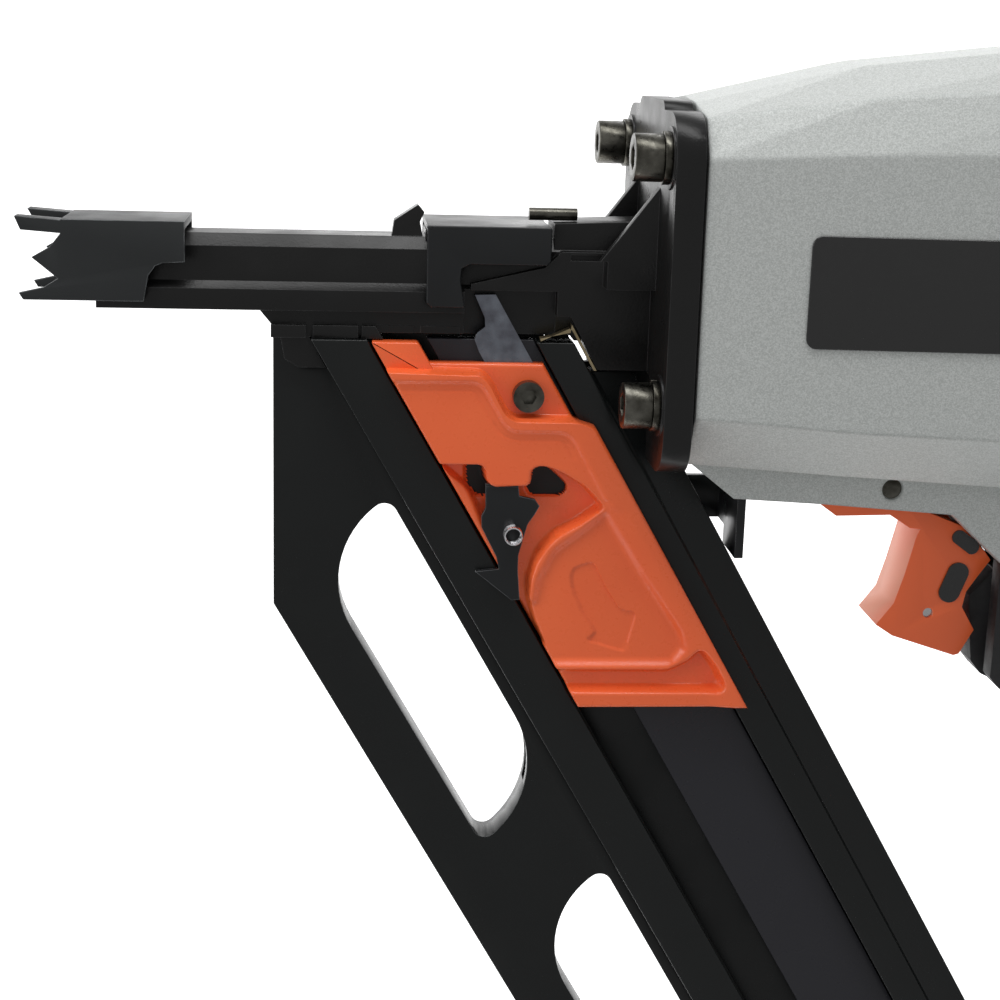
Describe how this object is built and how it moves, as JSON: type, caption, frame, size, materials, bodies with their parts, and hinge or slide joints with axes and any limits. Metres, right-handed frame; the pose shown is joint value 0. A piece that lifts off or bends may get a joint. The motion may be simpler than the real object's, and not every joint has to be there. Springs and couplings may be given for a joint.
{
  "type": "pneumatic nail gun",
  "caption": "Air-powered framing nailer with a slanted nail magazine, sliding contact tip, spring follower, rocking trigger, handle and air inlet.",
  "frame": {"origin": "centre of the nosepiece mouth, on the drive axis", "axes": "-X points out of the nose along the drive axis, +Z away from the magazine, +Y across the tool"},
  "size_m": [0.4018, 0.1084, 0.469],
  "materials": {
    "cast_black": "satin black casting",
    "sheet_black": "black coated sheet",
    "dark_steel": "dark oiled steel",
    "tip_steel": "charcoal with a sandy surface",
    "steel": "bright steel",
    "spring_steel": "bright spring steel",
    "brass": "brassy steel",
    "gasket": "gasket sheet",
    "rubber": "soft black grip",
    "body_silver": "silver metallic coat",
    "label": "black plate",
    "cap_black": "black casting",
    "aluminium": "turned aluminium",
    "orange": "orange",
    "black_plastic": "black plastic",
    "mag_black": "black anodised",
    "mag_panel": "grey anodised",
    "blade": "blue-grey hardened steel",
    "urethane": "cast urethane"
  },
  "bodies": {
    "tool": {"nosepiece": "cast_black", "nose_clip": "sheet_black", "clip_pin": "dark_steel", "feed_guide": "brass", "nose_gasket": "gasket", "nose_bolts": "dark_steel", "lock_washers": "dark_steel", "arm_spring": "spring_steel", "bumper": "urethane", "cylinder_sleeve": "aluminium", "sleeve_seal": "gasket", "head_valve_spring": "spring_steel", "housing": "body_silver", "side_labels": "label", "rear_cap": "cap_black", "cap_gasket": "gasket", "cap_bolts": "dark_steel", "deflector_screw": "steel", "grip_sleeve": "rubber", "handle_end_cap": "cap_black", "end_cap_bolts": "steel", "air_plug": "brass", "trigger_pin": "dark_steel", "valve_body": "brass", "magazine_fin": "mag_black", "magazine_tip_rail": "mag_black", "magazine_back_plate": "mag_black", "magazine_panel": "mag_panel", "magazine_head_track": "mag_black", "magazine_end_stop": "black_plastic", "magazine_bracket": "cap_black", "bracket_bolts": "steel", "track_screws": "dark_steel", "hook_bolt": "steel"},
    "contact_element": {"contact_tip": "tip_steel", "contact_arm_lower": "sheet_black", "contact_arm_upper": "sheet_black", "arm_screws": "steel"},
    "adjuster": {"depth_adjuster": "orange"},
    "drive": {"piston": "aluminium", "piston_ring": "rubber", "driver_blade": "steel"},
    "valve_head": {"head_valve": "black_plastic", "head_valve_seal": "urethane"},
    "deflector": {"exhaust_deflector": "black_plastic"},
    "trigger_body": {"trigger": "orange", "trigger_inserts": "label", "lever_pin": "steel"},
    "lever": {"trigger_lever": "steel"},
    "plunger": {"valve_plunger": "steel"},
    "pusher": {"follower": "orange", "follower_screw": "dark_steel", "lockout_blade": "blade", "follower_spring": "steel", "spring_spool": "black_plastic"},
    "latch": {"latch_plate": "sheet_black", "latch_spring": "spring_steel"},
    "hook": {"rafter_hook": "sheet_black"}
  },
  "joints": [
    {"name": "contact_slide", "type": "slide", "parent": "tool", "child": "contact_element", "axis": [1, 0, 0], "range_m": [0, 0.02], "stiffness_N_per_m": 300, "springref_m": -0.01, "deforming": ["arm_spring"]},
    {"name": "depth_wheel", "type": "hinge", "parent": "contact_element", "child": "adjuster", "pos_m": [0.155, 0.0192, -0.073], "axis": [0, -1, 0], "range_deg": [0, 270]},
    {"name": "piston_stroke", "type": "slide", "parent": "tool", "child": "drive", "axis": [-1, 0, 0], "range_m": [0, 0.126]},
    {"name": "head_valve_lift", "type": "slide", "parent": "tool", "child": "valve_head", "axis": [1, 0, 0], "range_m": [0, 0.005], "stiffness_N_per_m": 200, "springref_m": -0.002, "deforming": ["head_valve_spring"]},
    {"name": "deflector_turn", "type": "hinge", "parent": "tool", "child": "deflector", "pos_m": [0.373, 0, 0], "axis": [1, 0, 0], "continuous": true},
    {"name": "trigger_pull", "type": "hinge", "parent": "tool", "child": "trigger_body", "pos_m": [0.231, 0, -0.0611], "axis": [0, -1, 0], "range_deg": [0, 5], "stiffness_Nm_per_rad": 0.3, "springref_deg": -8.59},
    {"name": "lever_rock", "type": "hinge", "parent": "trigger_body", "child": "lever", "pos_m": [0.2493, 0, -0.1032], "axis": [0, 1, 0], "range_deg": [0, 5]},
    {"name": "plunger_push", "type": "slide", "parent": "tool", "child": "plunger", "axis": [1, 0, 0], "range_m": [0, 0.002]},
    {"name": "follower_slide", "type": "slide", "parent": "tool", "child": "pusher", "axis": [0.5, 0, -0.866], "range_m": [0, 0.23]},
    {"name": "latch_swing", "type": "hinge", "parent": "pusher", "child": "latch", "pos_m": [0.116, -0.0163, -0.0624], "axis": [-1, 0, 0], "range_deg": [0, 8], "stiffness_Nm_per_rad": 0.01, "springref_deg": -8.59},
    {"name": "hook_turn", "type": "hinge", "parent": "tool", "child": "hook", "pos_m": [0.33937, 0.017, -0.27192], "axis": [0, 1, 0], "range_deg": [-90, 90]}
  ],
  "couplings": [
    {"joint": "lever_rock", "follows": "contact_slide", "rad_per_m": 4.36},
    {"joint": "plunger_push", "follows": "trigger_pull", "m_per_rad": 0.0229}
  ]
}
